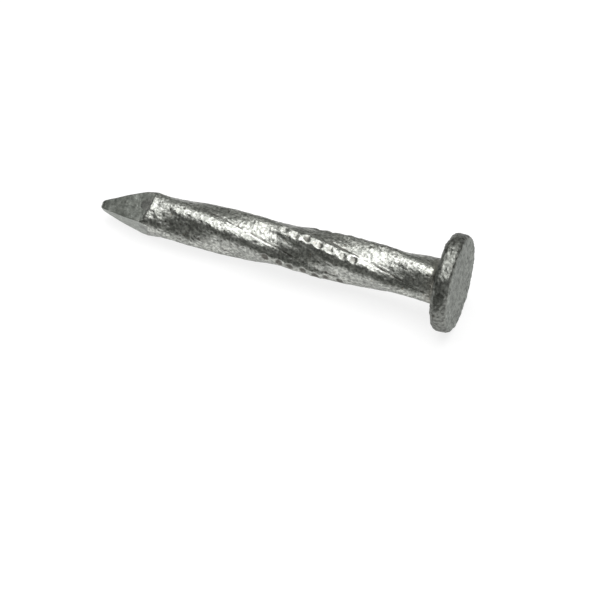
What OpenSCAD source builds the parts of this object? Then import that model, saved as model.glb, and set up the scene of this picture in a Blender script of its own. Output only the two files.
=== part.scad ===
// Galvanised square-twist nail with a flat round head and a diamond point.
// It lies along X with its head at +X. The origin is on the shank's axis, in the plane of
// the head's bearing face, and the shank runs from there to -X.
// Sizes are in millimetres and are taken over the zinc coat.

/* [Shank] */
// Length under the head, tip included
nail_length = 30; // [24:0.5:45]
// Size across two opposite flats
across_flats = 3.45; // [3.2:0.05:3.6]
// Radius of the rounded corners between the flats
corner_round = 1.15; // [1:0.05:1.4]
// Length of one full turn of the twist
twist_lead = 40; // [30:1:80]
// Turn of a flat's middle at the head, from +Y towards +Z
start_turn = 80; // [0:1:89]

/* [Neck] */
// Length of the stretch that flares into the head
neck_length = 1.2; // [1:0.1:2]
// Radius of the fillet under the head
neck_fillet = 0.7; // [0.3:0.05:0.9]

/* [Head] */
// Diameter of the head
head_d = 8.3; // [7.4:0.1:10]
// Thickness of the head
head_t = 1.55; // [1.3:0.05:2.2]
// Rounding of the rim on the bearing side
under_round = 0.6; // [0.2:0.05:0.65]
// Rounding of the rim on the struck side
face_round = 0.45; // [0.15:0.05:0.6]

/* [Point] */
// Length of the four pinched facets
point_length = 4.8; // [3:0.1:7]
// Width of the blunt tip
tip_width = 0.65; // [0.4:0.05:1]
// Length of the tip's rounding
tip_round = 0.25; // [0.1:0.05:0.4]
// How far the middle of a facet bulges
facet_belly = 0.06; // [0:0.01:0.2]
// Height of the step where a facet meets the shank
shoulder = 0.12; // [0.05:0.01:0.2]
// Turn of the facets against the flats at the end of the shank
facet_turn = -7; // [-10:1:10]

/* [Forming] */
// How far the head sits off the shank's axis
head_offset = 0.15; // [0:0.01:0.3]
// How far the tip sits off the axis, on the other side
tip_offset = 0.28; // [0:0.01:0.5]
// Direction of the head's offset, from +Y towards +Z
offset_turn = 45; // [0:1:359]

/* [Zinc coat] */
// Thickness of the zinc
coat_t = 0.06; // [0.04:0.01:0.09]

/* [Hidden] */

$fn = 96;
steel_colour = "dimgray";
zinc_colour = "silver";

// Straight edges that make up one flat, and one rounded corner between two flats
flat_edges = 2;
corner_edges = 8;
// Longest step between two outlines along the shank
ring_step = 1;
// Angle of one step round the neck's fillet
fillet_step = 15;
// Steps along the tip's rounding, and along a facet
nose_steps = 3;
facet_steps = 10;
// Share of the tip's width that is left at its very end
tip_flat = 0.45;
// Length of the step where a facet meets the shank
shoulder_run = 0.15;

neck_end = -neck_length;
shank_end = point_length - nail_length;
half_flats = across_flats / 2;
// Half the straight width of a flat, between two rounded corners
flat_reach = half_flats - corner_round;
half_tip = tip_width / 2;
shank_rings = ceil((neck_end - shank_end) / ring_step);
offset_dir = [0, cos(offset_turn), sin(offset_turn)];

// In these functions inset is how deep a surface lies below the coat's outside: 0 is the
// outside, and coat_t is where the zinc meets the steel.

// Points of one flat
function flat_points(inset) =
    [
        for (i = [0:flat_edges])
            [half_flats - inset, flat_reach * (2 * i / flat_edges - 1)]
    ];

// Points of the rounded corner between that flat and the next. The middle one lies where two
// facets of the point meet.
function corner_points(inset) =
    let (
        edge = atan(flat_reach / (half_flats - inset)),
        ridge = 45 + facet_turn,
        r = corner_round - inset
    )
    [
        for (i = [1:corner_edges - 1])
            let (
                share = 2 * i / corner_edges - 1,
                angle = ridge + share * (share < 0 ? ridge - edge : 90 - edge - ridge),
                along = flat_reach * (cos(angle) + sin(angle))
            )
            (along + sqrt(r * r - 2 * flat_reach * flat_reach + along * along))
                * [cos(angle), sin(angle)]
    ];

function turned(p, angle) =
    [p.x * cos(angle) - p.y * sin(angle), p.x * sin(angle) + p.y * cos(angle)];

// The shank's section, with a flat square to the first axis
function section(inset) =
    [
        for (quarter = [0:90:270], p = concat(flat_points(inset), corner_points(inset)))
            turned(p, quarter)
    ];

// Turn of a flat's middle at a place along the shank
function turn_at(x) = start_turn + 360 * x / twist_lead;

// Outline of the shank at x
function shank_ring(x, inset) =
    [
        for (p = section(inset))
            let (q = turned(p, turn_at(min(x, 0))))
            [x, q.x, q.y]
    ];

function shank_outlines(inset) =
    [
        for (i = [0:shank_rings])
            shank_ring(shank_end + (neck_end - shank_end) * i / shank_rings, inset)
    ];

// Outlines from the shank up the fillet to the head
function neck_outlines(inset) =
    let (r = neck_fillet + inset)
    concat(
        [shank_ring(neck_end, inset)],
        [
            for (up = [0:fillet_step:90])
                shank_ring(r * sin(up) - neck_fillet, r * cos(up) - neck_fillet)
        ]
    );

// Half the width across the point's facets at x
function facet_half(x, inset) =
    let (u = (x + nail_length) / (point_length - shoulder_run))
    half_tip + (half_flats - shoulder - half_tip) * u + 4 * facet_belly * u * (1 - u) - inset;

// Share of its width that the point keeps at x, where its tip is rounded
function nose(x, inset) =
    let (left = max(1 - (x + nail_length - inset) / tip_round, 0))
    sqrt(1 - (1 - tip_flat * tip_flat) * left * left);

// Outline of the point at x: the shank's end section, cut by the four facets
function point_ring(x, inset) =
    let (lean = -tip_offset * (shank_end - x) / point_length * offset_dir)
    [
        for (p = section(inset))
            let (
                across = turned(p, -facet_turn),
                cut = min(1, facet_half(x, inset) / max(abs(across.x), abs(across.y))),
                q = turned(cut * nose(x, inset) * p, turn_at(shank_end))
            )
            [x, q.x, q.y] + lean
    ];

// Outlines from the tip along the facets, and up the step to the shank
function point_outlines(inset) =
    let (
        tip = inset - nail_length,
        facets = shank_end - shoulder_run - tip - tip_round
    )
    concat(
        [for (i = [0:nose_steps - 1]) point_ring(tip + tip_round * i / nose_steps, inset)],
        [for (i = [0:facet_steps]) point_ring(tip + tip_round + facets * i / facet_steps, inset)],
        [shank_ring(shank_end, inset)]
    );

function reversed(list) = [for (i = [len(list) - 1:-1:0]) list[i]];

// Middle of an outline
function middle(outline) = [for (p = outline) 1] * outline / len(outline);

// Solid through a row of outlines. A loop joins the last outline to the first, as round a
// sleeve's wall; otherwise the first and last outlines are closed off from their middles.
// Each four-sided patch is split the same way whichever way the row runs, so that the steel's
// surface and the inside of the zinc are one.
module through_outlines(outlines, loop = false) {
    rows = len(outlines);
    n = len(outlines[0]);
    sides = [
        for (i = [0:rows - (loop ? 1 : 2)], j = [0:n - 1])
            let (
                next = (i + 1) % rows,
                a = i * n + j,
                b = i * n + (j + 1) % n,
                c = next * n + j,
                d = next * n + (j + 1) % n
            )
            each outlines[i][0].x < outlines[next][0].x
                ? [[a, c, b], [b, c, d]]
                : [[a, c, d], [a, d, b]]
    ];
    last = (rows - 1) * n;
    first_cap = [for (j = [0:n - 1]) [rows * n, j, (j + 1) % n]];
    last_cap = [for (j = [0:n - 1]) [rows * n + 1, last + (j + 1) % n, last + j]];
    points = [for (outline = outlines) each outline];
    middles = [middle(outlines[0]), middle(outlines[rows - 1])];
    polyhedron(
        points = loop ? points : concat(points, middles),
        faces = loop ? sides : concat(sides, first_cap, last_cap)
    );
}

// Sleeve between an outer and an inner row of outlines
module sleeve(outer, inner) {
    through_outlines(concat(outer, reversed(inner)), loop = true);
}

// Half profile of the head, with the axis at x = 0 and the bearing side at the bottom
module head_profile(inset) {
    r = head_d / 2 - inset;
    low = under_round - inset;
    high = face_round - inset;
    bottom = inset;
    top = head_t - inset;
    translate([0, bottom]) square([r - low, low]);
    translate([r - low, bottom + low]) circle(low);
    translate([0, bottom + low]) square([r, top - bottom - low - high]);
    translate([0, top - high]) square([r - high, high]);
    translate([r - high, top - high]) circle(high);
}

// The head's round body, turned on to the nail's axis and set off it
module head_disc(inset) {
    translate(head_offset * offset_dir)
        rotate([0, 90, 0])
            rotate_extrude()
                intersection() {
                    head_profile(inset);
                    square(head_d);
                }
}

// Passage for the neck through the coat under the head
module neck_passage() {
    outline = shank_ring(0, -neck_fillet);
    translate([-coat_t, 0, 0])
        rotate([90, 0, 90])
            linear_extrude(3 * coat_t)
                polygon([for (p = outline) [p.y, p.z]]);
}

// Steel head
module head() {
    color(steel_colour) head_disc(coat_t);
}

// Steel fillet between shank and head
module neck() {
    color(steel_colour) through_outlines(neck_outlines(coat_t));
}

// Twisted four-sided steel shank
module shank() {
    color(steel_colour) through_outlines(shank_outlines(coat_t));
}

// Pinched steel point
module point() {
    color(steel_colour) through_outlines(point_outlines(coat_t));
}

// Zinc round the head, open where the neck comes in
module head_coat() {
    color(zinc_colour)
        difference() {
            head_disc(0);
            head_disc(coat_t);
            neck_passage();
        }
}

// Zinc round the neck
module neck_coat() {
    color(zinc_colour) sleeve(neck_outlines(0), neck_outlines(coat_t));
}

// Zinc round the shank
module shank_coat() {
    color(zinc_colour) sleeve(shank_outlines(0), shank_outlines(coat_t));
}

// Zinc over the point, open towards the shank
module point_coat() {
    color(zinc_colour)
        through_outlines(concat(point_outlines(0), reversed(point_outlines(coat_t))));
}

head();
neck();
shank();
point();
head_coat();
neck_coat();
shank_coat();
point_coat();
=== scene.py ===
"""Scene of a galvanised square-twist nail: zinc coat, steel wire, floor, light and camera.

Lengths are in millimetres and angles in radians until a mesh, a lamp or the camera is made,
because the frame is in metres.
"""

import math

import bpy
import numpy as np
from mathutils import Matrix, Vector


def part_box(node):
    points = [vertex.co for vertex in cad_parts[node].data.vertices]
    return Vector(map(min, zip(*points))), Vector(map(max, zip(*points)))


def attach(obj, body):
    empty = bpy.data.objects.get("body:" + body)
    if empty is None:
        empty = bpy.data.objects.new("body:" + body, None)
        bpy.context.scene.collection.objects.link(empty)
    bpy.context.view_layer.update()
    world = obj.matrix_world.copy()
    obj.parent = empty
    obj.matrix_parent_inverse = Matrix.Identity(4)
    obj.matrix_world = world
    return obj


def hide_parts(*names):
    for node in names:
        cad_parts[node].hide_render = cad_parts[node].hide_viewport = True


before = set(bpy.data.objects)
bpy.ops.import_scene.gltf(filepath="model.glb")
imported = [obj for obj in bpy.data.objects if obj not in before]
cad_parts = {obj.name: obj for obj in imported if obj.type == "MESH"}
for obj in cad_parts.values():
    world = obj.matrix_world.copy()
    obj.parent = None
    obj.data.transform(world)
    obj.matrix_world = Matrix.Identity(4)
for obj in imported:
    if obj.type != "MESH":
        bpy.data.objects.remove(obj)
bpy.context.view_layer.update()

MM = 0.001
QUARTER = math.pi / 2
FULL_TURN = 2 * math.pi
WHITE = (1, 1, 1, 1)


def node_box(node):
    """Lowest and highest corner of a CAD node."""
    return [np.array(corner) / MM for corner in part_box(node)]


# Sizes that the solids give
point_low = node_box("point_coat")[0]
shank_low, shank_high = node_box("shank_coat")
head_low, head_high = node_box("head_coat")
TIP_X = point_low[0]
SHANK_END = shank_low[0]
NECK_END = shank_high[0]
POINT_LENGTH = SHANK_END - TIP_X
HEAD_T = head_high[0]
HEAD_R = (head_high[1] - head_low[1]) / 2
HEAD_MID = (head_low + head_high)[1:] / 2
MIDDLE_X = (TIP_X + HEAD_T) / 2

# Other sizes of the solids
SIDES = 4
HALF_FLATS = 1.725
CORNER_ROUND = 1.15
TWIST_LEAD = 40
START_TURN = math.radians(80)
NECK_FILLET = 0.7
UNDER_ROUND = 0.6
FACE_ROUND = 0.45
HALF_TIP = 0.325
TIP_ROUND = 0.25
FACET_BELLY = 0.06
SHOULDER, SHOULDER_RUN = 0.12, 0.15
FACET_SKEW = math.radians(-7)
TIP_OFFSET = 0.28
OFFSET_TURN = math.radians(45)
COAT_T = 0.06
FLAT_REACH = HALF_FLATS - CORNER_ROUND

# How softly the facets' edges and the tip are rounded
FACET_SOFTNESS = 0.04
FACET_POWER = 60
NOSE_POWER = 2.6
# How much nearer to the tip one end of each facet's step lies
SHOULDER_LEAN = 0.5
# How far the zinc makes the middle of a flat bulge, and how far it runs out over the tip
FLAT_BULGE = 0.045
TIP_BEAD = 0.1

# Columns of the mesh across one flat and one corner, and the spacing of its rings
FLAT_STEPS = 24
CORNER_STEPS = 36
RING_STEP = 0.065
# Spacing of the rings on the zinc's inside, along the wire, and round the neck and the head
INNER_STEP = 1.5
INNER_ROUND_STEP = NECK_FILLET / 3
# Places of the rings on the rounded tip, as shares of its length
NOSE_PLACES = np.array([0.003, 0.015, 0.05, 0.1, 0.18, 0.3, 0.45, 0.7])

# Number of waves that make up one field of noise, and how much their lengths differ
WAVE_COUNT, WAVE_SPREAD = 48, (0.7, 1.4)
# Relief of the zinc: height and wavelength of its runs, lumps and grains, and the same for the
# swells and the dents of the head's rim
RUN_HEIGHT, RUN_WAVE = 0.016, 2.6
LUMP_HEIGHT, LUMP_WAVE = 0.007, 0.8
GRAIN_HEIGHT, GRAIN_WAVE = 0.004, 0.3
RIM_HEIGHT, RIM_WAVE = 0.014, 1.5
RIM_DENT, RIM_DENT_WAVE = 0.013, 0.4
# Share of a finer field, at half the wavelength, that joins the grains and the dents
FINE_GRAIN, FINE_DENT = 0.6, 0.4
# How much stronger the grain is on the facets and on the head's outer face than elsewhere
PRESSED_GRAIN, FACE_GRAIN = 0.6, 2.6
# The deepest that a hollow goes, so that the steel stays covered
DEEPEST = 0.045
# The raised lip along one edge of each flat: its size, where it sets in, how its strength comes
# and goes, and the depth of the groove beside it
LIP_HEIGHT, LIP_WIDTH = 0.014, 0.08
LIP_FADE = (-23, -20)
LIP_WAVE, LIP_MEAN, LIP_SWING, LIP_MOST = 1.2, 0.75, 0.4, 1.2
GROOVE_SHARE = 0.6
# The tooth marks of the feed grippers: a row near each corner, with the place of its first mark,
# its distance from the corner's middle and how much it slants across the corner
TOOTH_PITCH, TOOTH_COUNT = 1.05, 7
TOOTH_FIRST = (-11.05, -13.65, -14.7, -13.2)
TOOTH_SHIFT = (-0.1, -0.2, -0.15, -0.15)
TOOTH_SLANT = -0.115
# Size of one mark, the swell that the row sits on, how the marks differ, and how dark each row's dents
# are painted, partly dirt and partly painted shade
TOOTH_WIDTH, TOOTH_LENGTH, TOOTH_POWER = 0.3, 0.3, 1.5
TOOTH_DEPTH, TOOTH_RAISE, TOOTH_BAND = 0.025, 0.1, 0.5
TOOTH_FORCE, TOOTH_SCATTER = (0.65, 1.1), 0.07
TOOTH_DIRT_AND_SHADE = (1.2, 0.6, 1.2, 1)
# Pits left by bubbles in the zinc, more of them towards the point
PIT_COUNT, PIT_R, PIT_DEPTH, PIT_FORCE = 480, (0.05, 0.1), 0.04, (0.4, 1)
PIT_MORE, PIT_FADE = 2.5, (-19, -15)
# Share of a pit's depth that is missing on the facets and on the head's outer face
PIT_PRESSED, PIT_FACE = 0.7, 0.6

# Where the shank's relief ends under the head, and the neck's tint begins and ends
WIRE_FADE = (0.2, 1.0)
NECK_FADE, NECK_AWAY = (-1.4, -0.3), (2.3, 3.2)
# How deep a facet cuts where it counts as pressed, and how far past its end that can be
PRESSED_FADE, PRESSED_PAST = (-0.03, 0.05), 0.5
# Slope at which the rim turns into the outer face
FACE_FADE = (0.75, 0.95)
# Length of the tip that is painted bright as a painted glint, and the grain that counts as full relief
TIP_GLINT = 0.4
FULL_RELIEF = 1.6

# Seeds of the random fields
RUN_SEED, LUMP_SEED, GRAIN_SEED, FINE_GRAIN_SEED = 1, 2, 3, 4
TOOTH_SEED, RIM_SEED, PIT_SEED, DENT_SEED, FINE_DENT_SEED = 5, 6, 7, 8, 9
LIP_SEED = 21


def soft_min(a, b, softness):
    """The lesser of two values, rounded where they cross."""
    share = np.clip(0.5 + 0.5 * (b - a) / softness, 0, 1)
    return b + (a - b) * share - softness * share * (1 - share)


def smooth_step(value, low, high):
    """0 below low, 1 above high, and a smooth rise between them."""
    share = np.clip((value - low) / (high - low), 0, 1)
    return share * share * (3 - 2 * share)


def section_columns():
    """Each column's place on the section, its way outward, and its distance along its side."""
    side = np.linspace(-1, 1, FLAT_STEPS, endpoint=False)
    turn = np.linspace(0, QUARTER, CORNER_STEPS, endpoint=False)
    ways = np.concatenate([np.zeros(FLAT_STEPS), turn])
    ways = np.stack([np.cos(ways), np.sin(ways)], axis=-1)
    flat = np.stack([HALF_FLATS + 0 * side, FLAT_REACH * side], axis=-1)
    corner = FLAT_REACH + CORNER_ROUND * ways[FLAT_STEPS:]
    round_flat = FLAT_REACH * (side + 1)
    round_corner = 2 * FLAT_REACH + CORNER_ROUND * turn
    quarter = np.array([[0, 1], [-1, 0]])
    turns = [np.linalg.matrix_power(quarter, k) for k in range(SIDES)]
    places = np.concatenate([np.concatenate([flat, corner]) @ t for t in turns])
    ways = np.concatenate([ways @ t for t in turns])
    return places, ways, np.tile(np.concatenate([round_flat, round_corner]), SIDES)


# The columns, with the side of the section that each lies on. A side is a flat and the corner
# after it.
PLACES, WAYS, ROUND = section_columns()
TURNS = np.unwrap(np.arctan2(PLACES[:, 1], PLACES[:, 0]))
CORNER_MIDDLE = 2 * FLAT_REACH + CORNER_ROUND * QUARTER / 2
SIDE_ROUND = 2 * FLAT_REACH + CORNER_ROUND * QUARTER
COLUMN_SIDE = np.repeat(np.arange(SIDES), FLAT_STEPS + CORNER_STEPS)


def wire_turn(x):
    """Turn of a flat's middle at a place along the wire."""
    return START_TURN + FULL_TURN * x / TWIST_LEAD


FACET_TURN = wire_turn(SHANK_END) + FACET_SKEW


def section(outset):
    """Distance of each column from the axis and its angle, where the section is grown by outset."""
    grown = PLACES + outset[..., None] * WAYS
    return np.hypot(grown[..., 0], grown[..., 1]), np.arctan2(grown[..., 1], grown[..., 0])


def facet_radius(x, angle, inset):
    """Distance from the axis to the point's facets."""
    u = np.clip((x - TIP_X) / (POINT_LENGTH - SHOULDER_RUN), 0, 1)
    half = HALF_TIP + (HALF_FLATS - SHOULDER - HALF_TIP) * u + 4 * FACET_BELLY * u * (1 - u) - inset
    lean = SHOULDER_LEAN * np.mod(angle / QUARTER + 0.5, 1)
    half = half + 2 * SHOULDER * np.maximum((x - SHANK_END + lean) / SHOULDER_RUN + 1, 0)
    spread = np.abs(np.cos(angle)) ** FACET_POWER + np.abs(np.sin(angle)) ** FACET_POWER
    return half / spread ** (1 / FACET_POWER)


def wire_rings(x, inset=0.0):
    """Rings of the point, the shank and the neck at places along the axis."""
    x = np.asarray(x)[:, None]
    reach = NECK_FILLET + inset
    up = np.clip(x + NECK_FILLET, 0, reach)
    r, turn = section(NECK_FILLET - np.sqrt(reach**2 - up**2))
    turn = turn + wire_turn(np.clip(x, SHANK_END, 0))
    r = soft_min(r, facet_radius(x, turn - FACET_TURN, inset), FACET_SOFTNESS)
    bead = TIP_BEAD if inset == 0 else 0
    left = np.clip(1 - (x - TIP_X - inset + bead) / (TIP_ROUND + bead), 0, 1)
    r = r * (1 - left**NOSE_POWER) ** (1 / NOSE_POWER)
    lean = -TIP_OFFSET * np.clip((SHANK_END - x) / POINT_LENGTH, 0, None)
    return np.stack(
        [
            x + 0 * turn,
            r * np.cos(turn) + lean * math.cos(OFFSET_TURN),
            r * np.sin(turn) + lean * math.sin(OFFSET_TURN),
        ],
        axis=-1,
    )


def disc_rings(x, radius):
    """Round rings about the head's middle."""
    turn = TURNS + wire_turn(0.0)
    x, radius = np.asarray(x)[:, None], np.asarray(radius)[:, None]
    return np.stack(
        [
            x + 0 * turn,
            HEAD_MID[0] + radius * np.cos(turn),
            HEAD_MID[1] + radius * np.sin(turn),
        ],
        axis=-1,
    )


def steps(start, end, spacing):
    """Even places from start to end, no further apart than a spacing."""
    return np.linspace(start, end, max(2, math.ceil(abs(end - start) / spacing) + 1))


def point_places(spacing, inset=0.0):
    """Places of the point's rings, closer together on the rounded tip."""
    start = TIP_X + inset - (TIP_BEAD if inset == 0 else 0)
    nose_end = TIP_X + inset + TIP_ROUND
    nose = start + (nose_end - start) * NOSE_PLACES
    facets = steps(nose_end, SHANK_END - SHOULDER_RUN, spacing)
    return np.concatenate([nose, facets, steps(facets[-1], SHANK_END, spacing)[1:]])


def neck_places(spacing, inset=0.0):
    """Places of the neck's rings: along the shank and then up the fillet."""
    up = steps(0, QUARTER, spacing / NECK_FILLET)
    straight = steps(NECK_END, -NECK_FILLET, spacing)
    return np.concatenate([straight, (NECK_FILLET + inset) * np.sin(up[1:]) - NECK_FILLET])


def head_rings(spacing, inset=0.0):
    """Rings of the head: out along its underside, round the rim and in over its outer face."""
    seat = wire_rings([inset], inset)
    low, high = UNDER_ROUND - inset, FACE_ROUND - inset
    r, top = HEAD_R - inset, HEAD_T - inset
    share = steps(0, 1, spacing / (r - low - HALF_FLATS))[:-1, None, None]
    under = (1 - share) * seat + share * disc_rings([inset], [r - low])
    a = steps(0, QUARTER, spacing / low)
    b = steps(0, QUARTER, spacing / high)
    wall = steps(inset + low, top - high, spacing)[1:-1]
    face = steps(r - high, spacing / 2, spacing)[1:]
    x = [inset + low * (1 - np.cos(a)), wall, top - high + high * np.sin(b), top + 0 * face]
    radius = [r - low + low * np.sin(a), r + 0 * wall, r - high + high * np.cos(b), face]
    return np.concatenate([under, disc_rings(np.concatenate(x), np.concatenate(radius))])


def normals_of(rings):
    """Unit normals of a grid of rings, outward where the rings run towards the head."""
    along = np.gradient(rings, axis=0)
    around = np.roll(rings, -1, axis=1) - np.roll(rings, 1, axis=1)
    normals = np.cross(around, along)
    return normals / np.maximum(np.linalg.norm(normals, axis=-1, keepdims=True), 1e-12)


def waves(points, wavelength, seed):
    """Smooth noise of about unit size: a sum of random waves near one wavelength."""
    rng = np.random.default_rng(seed)
    way = rng.normal(size=(3, WAVE_COUNT))
    way *= FULL_TURN / wavelength / np.linalg.norm(way, axis=0)
    way *= rng.uniform(*WAVE_SPREAD, WAVE_COUNT)
    phase = rng.uniform(0, FULL_TURN, WAVE_COUNT)
    angles = points.astype(np.float32) @ way.astype(np.float32) + phase.astype(np.float32)
    return np.cos(angles).sum(axis=-1) * math.sqrt(2 / WAVE_COUNT)


def pits(points):
    """How deep each place lies in a pit, from 0 to 1."""
    rng = np.random.default_rng(PIT_SEED)
    spots = points.reshape(-1, 3)
    depth = np.zeros(len(spots))
    share = 1 + PIT_MORE * smooth_step(-spots[:, 0], -PIT_FADE[1], -PIT_FADE[0])
    for place in rng.choice(len(spots), PIT_COUNT, replace=False, p=share / share.sum()):
        far = ((spots - spots[place]) ** 2).sum(axis=1)
        force = rng.uniform(*PIT_FORCE)
        depth = np.maximum(depth, force * np.exp(-far / rng.uniform(*PIT_R) ** 2))
    return depth.reshape(points.shape[:2])


def tooth_marks(x):
    """Height of the tooth marks, and how dark each place in them is painted, partly dirt and partly
    painted shade, 1 and more for the darkest.
    """
    rng = np.random.default_rng(TOOTH_SEED)
    force = rng.uniform(*TOOTH_FORCE, (SIDES, TOOTH_COUNT))
    shift = rng.normal(0, TOOTH_SCATTER, (2, SIDES, TOOTH_COUNT))
    reach = TOOTH_PITCH * (TOOTH_COUNT - 1)
    all_round = SIDES * SIDE_ROUND
    height, dirt_and_shade = 0 * x, 0 * x
    for row in range(SIDES):
        past_first = x - TOOTH_FIRST[row]
        number = np.clip(np.round(past_first / TOOTH_PITCH), 0, TOOTH_COUNT - 1).astype(int)
        along = past_first - TOOTH_PITCH * number - shift[0, row][number]
        slant = TOOTH_SHIFT[row] + TOOTH_SLANT * (past_first - reach / 2)
        from_corner = ROUND + SIDE_ROUND * (COLUMN_SIDE - row) - CORNER_MIDDLE
        across = from_corner - slant - shift[1, row][number]
        across = (across + all_round / 2) % all_round - all_round / 2
        far = (along / TOOTH_LENGTH) ** 2 + (across / TOOTH_WIDTH) ** 2
        dent = force[row][number] * np.exp(-(far**TOOTH_POWER))
        beyond = np.maximum(np.maximum(-past_first, past_first - reach), 0)
        band = TOOTH_RAISE * np.exp(-((beyond / TOOTH_PITCH) ** 2) - (across / TOOTH_BAND) ** 4)
        height = height + band - dent * (band + TOOTH_DEPTH)
        dirt_and_shade = np.maximum(dirt_and_shade, TOOTH_DIRT_AND_SHADE[row] * dent)
    return height, dirt_and_shade


def lips(points):
    """Height of the lip along one edge of each flat, and depth of the groove beside it."""
    gap = ROUND - 2 * FLAT_REACH
    crest = np.exp(-((gap / LIP_WIDTH) ** 2))
    groove = GROOVE_SHARE * np.exp(-(((gap + 2 * LIP_WIDTH) / LIP_WIDTH) ** 2))
    strength = np.clip(LIP_MEAN + LIP_SWING * waves(points, LIP_WAVE, LIP_SEED), 0, LIP_MOST)
    strength = strength * smooth_step(points[..., 0], *LIP_FADE)
    return crest * strength, groove * strength


def outer_grid():
    """Rings of the whole coat from tip to face, with each zone's first and last ring."""
    rows = [
        wire_rings(point_places(RING_STEP)),
        wire_rings(steps(SHANK_END, NECK_END, RING_STEP))[1:],
        wire_rings(neck_places(RING_STEP))[1:],
        head_rings(RING_STEP)[1:],
    ]
    ends = np.cumsum([len(row) for row in rows]) - 1
    starts = [0, *ends[:-1]]
    return np.concatenate(rows), list(zip(starts, ends, strict=True))


def dressed_grid():
    """The coat's outside with its relief, the zones, and the values that its material reads."""
    rings, zones = outer_grid()
    normals = normals_of(rings)
    x = rings[..., 0]
    neck_last = zones[2][1]
    on_head = np.zeros(len(rings))
    on_head[neck_last:] = 1
    on_wire = smooth_step(-x, *WIRE_FADE) * (1 - on_head[:, None])
    wire, turn = section(0 * x)
    facets = facet_radius(x, turn + wire_turn(SHANK_END) - FACET_TURN, 0.0)
    pressed = smooth_step(wire - facets, *PRESSED_FADE) * (x < SHANK_END + PRESSED_PAST)
    face = smooth_step(normals[..., 0], *FACE_FADE) * on_head[:, None]
    shank = on_wire * (1 - pressed)
    rim = smooth_step(x, -NECK_FILLET, 0) * (1 - face)
    away = np.hypot(rings[..., 1], rings[..., 2])
    neck = smooth_step(x, *NECK_FADE) * (1 - smooth_step(away, *NECK_AWAY)) * (1 - face)

    marks, mark_dirt_and_shade = tooth_marks(x)
    crest, groove = lips(rings)
    pit = pits(rings) * (1 - PIT_PRESSED * pressed) * (1 - PIT_FACE * face)
    coarse = 1 + (PRESSED_GRAIN - 1) * pressed + (FACE_GRAIN - 1) * face
    fine_grain = waves(rings, GRAIN_WAVE / 2, FINE_GRAIN_SEED)
    grain = waves(rings, GRAIN_WAVE, GRAIN_SEED) + FINE_GRAIN * fine_grain
    fine_dents = waves(rings, RIM_DENT_WAVE / 2, FINE_DENT_SEED)
    dents = waves(rings, RIM_DENT_WAVE, DENT_SEED) + FINE_DENT * fine_dents
    fine = GRAIN_HEIGHT * coarse * grain - PIT_DEPTH * pit
    height = (
        RUN_HEIGHT * waves(rings, RUN_WAVE, RUN_SEED)
        + LUMP_HEIGHT * coarse * waves(rings, LUMP_WAVE, LUMP_SEED)
        + (RIM_HEIGHT * waves(rings, RIM_WAVE, RIM_SEED) + RIM_DENT * dents) * rim
        + FLAT_BULGE * np.maximum(1 - (ROUND / FLAT_REACH - 1) ** 2, 0) * shank
        + LIP_HEIGHT * (crest - groove) * shank
        + marks * shank
        + fine
    )
    height = np.maximum(height, -DEEPEST)
    values = {
        "relief": np.clip(0.5 + 0.5 * fine / (FULL_RELIEF * GRAIN_HEIGHT), 0, 1),
        # Darkening of the tooth dents and the pits, partly dirt and partly painted shade, and painted
        # shade in the groove beside each lip
        "dirt_and_shade": np.clip(np.maximum(mark_dirt_and_shade * shank, pit) + groove * shank, 0, 1),
        # Bright crests of the lips, partly wear and partly a painted highlight, and a painted glint at
        # the tip
        "wear_and_glint": np.clip(crest * shank + smooth_step(TIP_X - x, -TIP_GLINT, 0), 0, 1),
        "pressed": pressed,
        "face": face,
        "rim": rim,
        "neck": neck,
    }
    return rings + height[..., None] * normals, zones, values


def closed_mesh(name, rings, poles=None):
    """Mesh through a row of rings, from pole to pole or round a sleeve's wall to the first ring."""
    index = np.arange(rings.shape[0] * rings.shape[1]).reshape(rings.shape[:2])
    beside = np.roll(index, -1, axis=1)
    ahead, beside_ahead = np.roll(index, -1, axis=0), np.roll(beside, -1, axis=0)
    rows = slice(None) if poles is None else slice(None, -1)
    quads = np.stack([index[rows], beside[rows], beside_ahead[rows], ahead[rows]], axis=-1)
    faces = quads.reshape(-1, 4).tolist()
    points = rings.reshape(-1, 3)
    if poles is not None:
        first, last = len(points), len(points) + 1
        points = np.concatenate([points, poles])
        faces += [(first, b, a) for a, b in zip(index[0].tolist(), beside[0].tolist())]
        faces += [(last, a, b) for a, b in zip(index[-1].tolist(), beside[-1].tolist())]
    mesh = bpy.data.meshes.new(name)
    mesh.from_pydata((points * MM).tolist(), [], faces)
    mesh.shade_smooth()
    return mesh


def coat_piece(name, outer, inner, values, normals, closed_end=None):
    """One zone of the zinc as a closed shell.

    The rings where it meets the next zone have the normals that both zones share there.
    """
    inside = inner[::-1]
    poles = None
    rings = np.concatenate([outer, inside])
    outside = slice(0, len(outer))
    seams = [0, len(outer) - 1]
    if closed_end == "tip":
        poles = np.array([outer[0].mean(axis=0), inner[0].mean(axis=0)])
        seams = [len(outer) - 1]
    if closed_end == "face":
        rings = np.concatenate([inside, outer])
        outside = slice(len(inside), len(rings))
        poles = np.array([inner[-1].mean(axis=0), outer[-1].mean(axis=0)])
        seams = [len(inside)]
    mesh = closed_mesh(name, rings, poles)
    extra = 0 if poles is None else len(poles)
    for key, value in values.items():
        full = np.zeros(rings.shape[:2])
        full[outside] = value
        flat = np.concatenate([full.ravel(), np.zeros(extra)])
        if closed_end == "tip":
            flat[-2] = value[0].mean()
        if closed_end == "face":
            flat[-1] = value[-1].mean()
        layer = mesh.attributes.new(key, "FLOAT", "POINT")
        layer.data.foreach_set("value", flat.astype(np.float32))
    own = np.zeros(rings.shape)
    for seam in seams:
        own[seam] = normals[seam - outside.start]
    own = np.concatenate([own.reshape(-1, 3), np.zeros((extra, 3))])
    mesh.normals_split_custom_set_from_vertices(own.tolist())
    piece = bpy.data.objects.new(name, mesh)
    bpy.context.scene.collection.objects.link(piece)
    return piece


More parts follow.
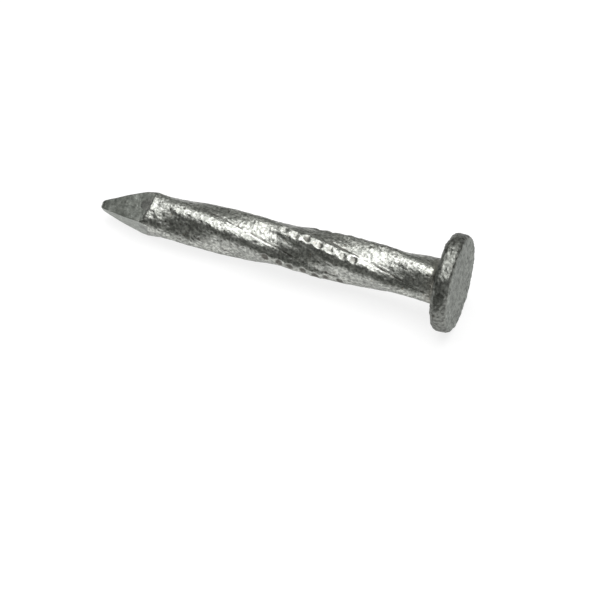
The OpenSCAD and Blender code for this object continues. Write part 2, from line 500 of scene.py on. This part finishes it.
def zinc_pieces():
    """The four zones of the coat, from the tip to the head, and the rings of its outside."""
    rings, zones, values = dressed_grid()
    normals = normals_of(rings)
    inner = [
        wire_rings(point_places(INNER_STEP, COAT_T), COAT_T),
        wire_rings(steps(SHANK_END, NECK_END, INNER_STEP), COAT_T),
        wire_rings(neck_places(INNER_ROUND_STEP, COAT_T), COAT_T),
        head_rings(INNER_ROUND_STEP, COAT_T),
    ]
    names = ["point", "shank", "neck", "head"]
    closed = ["tip", None, None, "face"]
    pieces = {}
    for name, (start, end), inside, end_kind in zip(names, zones, inner, closed, strict=True):
        rows = slice(start, end + 1)
        own = {key: value[rows] for key, value in values.items()}
        pieces[name] = coat_piece(f"zinc_{name}", rings[rows], inside, own, normals[rows], end_kind)
    return pieces, rings


class Nodes:
    """Short calls that add and link the nodes of one material or world."""

    def __init__(self, owner):
        owner.use_nodes = True
        self.tree = owner.node_tree
        self.tree.nodes.clear()

    def add(self, kind, **settings):
        """A node with its settings; a setting named as a socket goes to that socket."""
        node = self.tree.nodes.new(kind)
        for key, value in settings.items():
            if hasattr(node, key):
                setattr(node, key, value)
            else:
                self.put(node.inputs[key.replace("_", " ")], value)
        return node

    def put(self, socket, value):
        """A value or a link into a socket."""
        if isinstance(value, bpy.types.NodeSocket):
            self.tree.links.new(value, socket)
        else:
            socket.default_value = value

    def noise(self, where, size, detail, roughness=0.5):
        """Noise with features of about a size in millimetres."""
        node = self.add("ShaderNodeTexNoise", Scale=1 / (size * MM), Detail=detail, Roughness=roughness)
        self.put(node.inputs["Vector"], where)
        return node.outputs["Fac"]

    def ramp(self, value, low, high, start=0.0, end=1.0):
        """A value brought from one range to another, held at its ends."""
        node = self.add("ShaderNodeMapRange")
        node.inputs["From Min"].default_value = low
        node.inputs["From Max"].default_value = high
        node.inputs["To Min"].default_value = start
        node.inputs["To Max"].default_value = end
        self.put(node.inputs["Value"], value)
        return node.outputs["Result"]

    def math(self, operation, a, b):
        """Two values brought together by an operation."""
        node = self.add("ShaderNodeMath", operation=operation)
        self.put(node.inputs[0], a)
        self.put(node.inputs[1], b)
        return node.outputs["Value"]

    def mix(self, share, a, b):
        """Two colours mixed by a share."""
        node = self.add("ShaderNodeMix", data_type="RGBA")
        self.put(node.inputs["Factor"], share)
        self.put(node.inputs[6], a)
        self.put(node.inputs[7], b)
        return node.outputs[2]

    def value(self, name):
        """A value that the mesh holds at each vertex."""
        return self.add("ShaderNodeAttribute", attribute_name=name).outputs["Fac"]


# Colours of the zinc
ZINC_DARK, ZINC_PALE = (0.42, 0.43, 0.4, 1), (0.62, 0.63, 0.59, 1)
SPECK_COLOUR = (0.14, 0.146, 0.134, 1)
HOLLOW_COLOUR = (0.16, 0.16, 0.155, 1)
# Dark colour painted into the dents, pits and grooves: partly dirt, partly painted shade
DIRT_AND_SHADE_COLOUR = (0.07, 0.063, 0.055, 1)
RUST_COLOUR = (0.3, 0.22, 0.15, 1)
FACE_DARK, FACE_PALE = (0.115, 0.123, 0.112, 1), (0.35, 0.368, 0.34, 1)
PRESSED_COLOUR = (0.4, 0.43, 0.395, 1)
RIM_DARK, RIM_PALE = (0.065, 0.067, 0.061, 1), (0.21, 0.217, 0.2, 1)
NECK_COLOUR = (0.16, 0.14, 0.108, 1)
# Pale colour of the crests, partly wear and partly a painted highlight, and of the tip's painted glint
WEAR_AND_GLINT_COLOUR = (0.66, 0.66, 0.64, 1)
EDGE_TINT = (0.7, 0.7, 0.7, 1)
# Noise in the zinc: the size of its features, its detail and, where it isn't even, its roughness
CLOUDS, SPECKS, RUST_SPOTS = (0.9, 3.0), (0.24, 3.0), (0.33, 2.0)
FACE_PATCHES, RIM_PATCHES, MATT_PATCHES = (0.36, 5.0, 0.75), (0.3, 2.0), (0.4, 3.0)
COARSE_BUMP, FINE_BUMP = (0.12, 2.0), (0.06, 1.0)
# Range of a noise from its hollows to its peaks, and the sharper ones on the face and the rim
NOISE_RANGE, FACE_RANGE, RIM_RANGE = (0.35, 0.65), (0.4, 0.6), (0.4, 0.58)
# Roughness of the zinc, what the head adds to it and what the worn crests and the glinting tip take off
MATT, HEAD_MATT, WEAR_AND_GLINT_GLOSS = (0.28, 0.38), 0.06, 0.15
BUMP_STRENGTH, BUMP_HEIGHT = 0.6, 0.012

# The steel: its colours, its noise stretched along the wire, and its roughness
STEEL_DARK, STEEL_PALE = (0.26, 0.26, 0.27, 1), (0.38, 0.38, 0.39, 1)
DRAWN_LINES, DRAWN_STRETCH = (0.12, 3.0), (0.05, 1, 1)
STEEL_MATT_RANGE, STEEL_MATT = (0.3, 0.7), (0.3, 0.5)


def zinc_material():
    """Dipped zinc: grainy satin grey with dark hollows and warm specks; its dents, pits and grooves
    carry dirt and painted shade, its crests wear and a painted highlight, its tip a painted glint.
    """
    material = bpy.data.materials.new("zinc")
    n = Nodes(material)
    where = n.add("ShaderNodeTexCoord").outputs["Object"]
    wear_and_glint, face, rim = n.value("wear_and_glint"), n.value("face"), n.value("rim")
    speck, rust = n.noise(where, *SPECKS), n.noise(where, *RUST_SPOTS)
    face_colour = n.mix(n.ramp(n.noise(where, *FACE_PATCHES), *FACE_RANGE), FACE_DARK, FACE_PALE)
    rim_colour = n.mix(n.ramp(n.noise(where, *RIM_PATCHES), *RIM_RANGE), RIM_DARK, RIM_PALE)

    # Each tint in turn: the value that brings it out, the range of that value, the tint's share
    # at both ends of the range, and its colour
    tints = [
        (speck, (0.43, 0.55), (0.58, 0.0), SPECK_COLOUR),
        (n.value("relief"), (0.1, 0.6), (0.55, 0.0), HOLLOW_COLOUR),
        # Darkening of the dents, pits and grooves: partly dirt, partly painted shade
        (n.value("dirt_and_shade"), (0.15, 0.7), (0.0, 0.8), DIRT_AND_SHADE_COLOUR),
        (rust, (0.68, 0.76), (0.0, 0.5), RUST_COLOUR),
        (face, (0, 1), (0.0, 0.9), face_colour),
        (n.value("pressed"), (0, 1), (0.0, 0.5), PRESSED_COLOUR),
        (rim, (0, 1), (0.0, 0.8), rim_colour),
        (n.value("neck"), (0, 1), (0.0, 0.4), NECK_COLOUR),
        # Brightening of the crests, partly wear and partly a painted highlight, and the tip's painted
        # glint
        (wear_and_glint, (0.3, 1), (0.0, 0.45), WEAR_AND_GLINT_COLOUR),
    ]
    colour = n.mix(n.ramp(n.noise(where, *CLOUDS), *NOISE_RANGE), ZINC_DARK, ZINC_PALE)
    for value, span, shares, tint in tints:
        colour = n.mix(n.ramp(value, *span, *shares), colour, tint)

    matt = n.ramp(n.noise(where, *MATT_PATCHES), *NOISE_RANGE, *MATT)
    matt = n.math("ADD", matt, n.ramp(n.math("MAXIMUM", rim, face), 0, 1, 0.0, HEAD_MATT))
    matt = n.math("SUBTRACT", matt, n.ramp(wear_and_glint, 0, 1, 0.0, WEAR_AND_GLINT_GLOSS))

    bump = n.add("ShaderNodeBump", Strength=BUMP_STRENGTH, Distance=BUMP_HEIGHT * MM)
    tooth = n.math("ADD", n.noise(where, *COARSE_BUMP), n.noise(where, *FINE_BUMP))
    n.put(bump.inputs["Height"], tooth)

    shader = n.add("ShaderNodeBsdfPrincipled", Metallic=1.0, Specular_Tint=EDGE_TINT)
    n.put(shader.inputs["Base Color"], colour)
    n.put(shader.inputs["Roughness"], matt)
    n.put(shader.inputs["Normal"], bump.outputs["Normal"])
    out = n.add("ShaderNodeOutputMaterial")
    n.put(out.inputs["Surface"], shader.outputs["BSDF"])
    return material


def steel_material():
    """Drawn steel wire, with faint lines along its length."""
    material = bpy.data.materials.new("steel")
    n = Nodes(material)
    drawn = n.add("ShaderNodeMapping", Scale=DRAWN_STRETCH)
    n.put(drawn.inputs["Vector"], n.add("ShaderNodeTexCoord").outputs["Object"])
    lines = n.noise(drawn.outputs["Vector"], *DRAWN_LINES)
    shader = n.add("ShaderNodeBsdfPrincipled", Metallic=1.0)
    colour = n.mix(n.ramp(lines, *NOISE_RANGE), STEEL_DARK, STEEL_PALE)
    n.put(shader.inputs["Base Color"], colour)
    n.put(shader.inputs["Roughness"], n.ramp(lines, *STEEL_MATT_RANGE, *STEEL_MATT))
    out = n.add("ShaderNodeOutputMaterial")
    n.put(out.inputs["Surface"], shader.outputs["BSDF"])
    return material


# The camera: its view of a point in the middle of the nail, and how far that point lies off the
# picture's middle
VIEW_MIDDLE = Vector((-15, 0, 0))
VIEW_AZIMUTH = math.radians(19.14)
VIEW_ELEVATION = math.radians(43.77)
VIEW_DISTANCE = 300
PIXELS_PER_MM = 11.972
PICTURE_SIDE = 600
MIDDLE_RIGHT, MIDDLE_UP = -2.413, 4.850
CLIP_NEAR, CLIP_FAR = 10, 10000

# The floor, and the distances from the nail between which it turns to plain white
FLOOR_R = 700
FLOOR_COLOUR = (0.3, 0.3, 0.3, 1)
FLOOR_GLOW = 0.8
FLOOR_FADE = (60, 160)
# The dark walls that the metal mirrors, with their shift towards the camera and the tilt of
# their top, and the mat between them and the nail
WALL_R, WALL_TOP, WALL_SHIFT, WALL_TILT = 162, 214, 38, 0.6
MAT_X, MAT_Y, MAT_SHIFT, MAT_LIFT = 40, 26, 17, 0.05
# Where the mat ends towards +X, and how steeply the foot of the walls rises that way
MAT_END, WALL_FOOT = 30, 0.14
NEAR_FLAG = (0.26, 0.265, 0.25, 1)
FAR_FLAG = (0.6, 0.61, 0.58, 1)
ELLIPSE_POINTS = 64
# The light above, and the surround's faint fill light
BOX_HEIGHT, BOX_SIZE = 330, 430
BOX_RADIANCE = 2.4
FILL = 0.18


def seen_directly(n):
    """1 for rays from the camera, off glossy metal or through glass, 0 for the rest."""
    path = n.add("ShaderNodeLightPath").outputs
    seen = n.math("MAXIMUM", path["Is Camera Ray"], path["Is Glossy Ray"])
    return n.math("MAXIMUM", seen, path["Is Transmission Ray"])


def floor_material():
    """Pale floor that is white in the picture, keeps the shadow and is clear from below."""
    material = bpy.data.materials.new("floor")
    n = Nodes(material)
    paint = n.add("ShaderNodeBsdfDiffuse", Color=FLOOR_COLOUR)
    glow = n.add("ShaderNodeEmission", Color=WHITE)
    n.put(glow.inputs["Strength"], n.math("MULTIPLY", seen_directly(n), FLOOR_GLOW))
    both = n.add("ShaderNodeAddShader")
    n.put(both.inputs[0], paint.outputs["BSDF"])
    n.put(both.inputs[1], glow.outputs["Emission"])
    far = n.add("ShaderNodeVectorMath", operation="DISTANCE")
    n.put(far.inputs[0], n.add("ShaderNodeNewGeometry").outputs["Position"])
    far.inputs[1].default_value = (MIDDLE_X * MM, 0, 0)
    white = n.add("ShaderNodeEmission", Color=WHITE)
    n.put(white.inputs["Strength"], seen_directly(n))
    fade = n.add("ShaderNodeMixShader")
    n.put(fade.inputs[0], n.ramp(far.outputs["Value"], FLOOR_FADE[0] * MM, FLOOR_FADE[1] * MM))
    n.put(fade.inputs[1], both.outputs["Shader"])
    n.put(fade.inputs[2], white.outputs["Emission"])
    clear = n.add("ShaderNodeBsdfTransparent")
    side = n.add("ShaderNodeMixShader")
    n.put(side.inputs[0], n.add("ShaderNodeNewGeometry").outputs["Backfacing"])
    n.put(side.inputs[1], fade.outputs["Shader"])
    n.put(side.inputs[2], clear.outputs["BSDF"])
    out = n.add("ShaderNodeOutputMaterial")
    n.put(out.inputs["Surface"], side.outputs["Shader"])
    return material


def stage_object(name, points, faces, material):
    """A mesh that belongs to the studio and not to the nail."""
    mesh = bpy.data.meshes.new(name)
    mesh.from_pydata([(MM * x, MM * y, MM * z) for x, y, z in points], [], faces)
    mesh.materials.append(material)
    thing = bpy.data.objects.new(name, mesh)
    bpy.context.scene.collection.objects.link(thing)
    return thing


def ellipse(radius_x, radius_y, shift=(0, 0)):
    """Points round the nail's middle, as x and y."""
    middle = MIDDLE_X + shift[0]
    turns = [FULL_TURN * k / ELLIPSE_POINTS for k in range(ELLIPSE_POINTS)]
    return [(middle + radius_x * math.cos(t), shift[1] + radius_y * math.sin(t)) for t in turns]


def floor_plane(points):
    """Height at x = 0 and slope of a floor that touches the head's rim and the end of the shank."""
    flat = points.reshape(-1, 3)
    rim = flat[flat[:, 2].argmin()]
    rest = flat[flat[:, 0] < NECK_END]
    slope = ((rest[:, 2] - rim[2]) / (rim[0] - rest[:, 0])).min()
    return (flat[:, 2] + slope * flat[:, 0]).min(), slope


def make_floor(level, slope):
    """The floor that the nail lies on."""
    edge = [(x, y, level - slope * x) for x, y in ellipse(FLOOR_R, FLOOR_R)]
    stage_object("floor", edge, [list(range(len(edge)))], floor_material())


def make_flags(level, slope):
    """Dark mat and walls round the nail, which only its reflections show."""
    material = bpy.data.materials.new("flags")
    n = Nodes(material)
    out = n.add("ShaderNodeOutputMaterial")
    where = n.add("ShaderNodeSeparateXYZ")
    n.put(where.inputs["Vector"], n.add("ShaderNodeNewGeometry").outputs["Position"])
    paint = n.add("ShaderNodeBsdfDiffuse")
    far = n.ramp(where.outputs["Y"], 0, WALL_R / 2 * MM)
    n.put(paint.inputs["Color"], n.mix(far, NEAR_FLAG, FAR_FLAG))
    n.put(out.inputs["Surface"], paint.outputs["BSDF"])
    shift = (WALL_SHIFT * math.sin(VIEW_AZIMUTH), -WALL_SHIFT * math.cos(VIEW_AZIMUTH))
    mat, wall = ellipse(MAT_X, MAT_Y, (0, MAT_SHIFT)), ellipse(WALL_R, WALL_R, shift)
    count = len(wall)
    points = [(x, y, level - slope * x + MAT_LIFT) for x, y in mat + wall]
    points += [(x, y, WALL_FOOT * max(x, 0) + level) for x, y in wall]
    points += [(x, y, WALL_TOP - WALL_TILT * min(x, 0)) for x, y in wall]
    kept = [k for k in range(count) if wall[k][0] < MAT_END]
    rows = [(k, (k + 1) % count) for k in kept]
    rows += [(k + 2 * count, (k + 1) % count + 2 * count) for k in range(count)]
    flags = stage_object("flags", points, [(a, b, b + count, a + count) for a, b in rows], material)
    flags.visible_camera = False
    flags.visible_diffuse = False
    flags.visible_shadow = False


def make_world():
    """An even white surround for camera and reflections, and a faint fill light."""
    world = bpy.data.worlds.new("studio")
    bpy.context.scene.world = world
    n = Nodes(world)
    back = n.add("ShaderNodeBackground", Color=WHITE)
    n.put(back.inputs["Strength"], n.ramp(seen_directly(n), 0, 1, FILL, 1.0))
    out = n.add("ShaderNodeOutputWorld")
    n.put(out.inputs["Surface"], back.outputs["Background"])


def make_softbox():
    """A large soft light above the nail."""
    light = bpy.data.lights.new("softbox", "AREA")
    light.shape = "SQUARE"
    light.size = BOX_SIZE * MM
    light.energy = BOX_RADIANCE * math.pi * light.size**2
    lamp = bpy.data.objects.new("softbox", light)
    lamp.location = (MIDDLE_X * MM, 0, BOX_HEIGHT * MM)
    bpy.context.scene.collection.objects.link(lamp)


def make_camera():
    """The camera at the photograph's place."""
    sin_a, cos_a = math.sin(VIEW_AZIMUTH), math.cos(VIEW_AZIMUTH)
    sin_e, cos_e = math.sin(VIEW_ELEVATION), math.cos(VIEW_ELEVATION)
    back = Vector((sin_a * cos_e, -cos_a * cos_e, sin_e))
    right = Vector((cos_a, sin_a, 0))
    up = Vector((-sin_a * sin_e, cos_a * sin_e, cos_e))
    place = VIEW_MIDDLE + VIEW_DISTANCE * back - MIDDLE_RIGHT * right - MIDDLE_UP * up
    data = bpy.data.cameras.new("camera")
    data.lens = data.sensor_width * PIXELS_PER_MM * VIEW_DISTANCE / PICTURE_SIDE
    data.clip_start, data.clip_end = CLIP_NEAR * MM, CLIP_FAR * MM
    camera = bpy.data.objects.new("camera", data)
    turn = Matrix((right, up, back)).transposed().to_4x4()
    camera.matrix_world = Matrix.Translation(place * MM) @ turn
    bpy.context.scene.collection.objects.link(camera)
    bpy.context.scene.camera = camera


make_camera()

zinc, zinc_rings = zinc_pieces()
zinc_finish = zinc_material()
for zone, piece in zinc.items():
    piece.data.materials.append(zinc_finish)
    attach(piece, "root")
    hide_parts(f"{zone}_coat")

steel_finish = steel_material()
for zone in zinc:
    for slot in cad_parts[zone].material_slots:
        slot.material = steel_finish

floor_level, floor_slope = floor_plane(zinc_rings)
make_floor(floor_level, floor_slope)
make_flags(floor_level, floor_slope)
make_softbox()
make_world()
bpy.context.scene.view_settings.view_transform = "Standard"
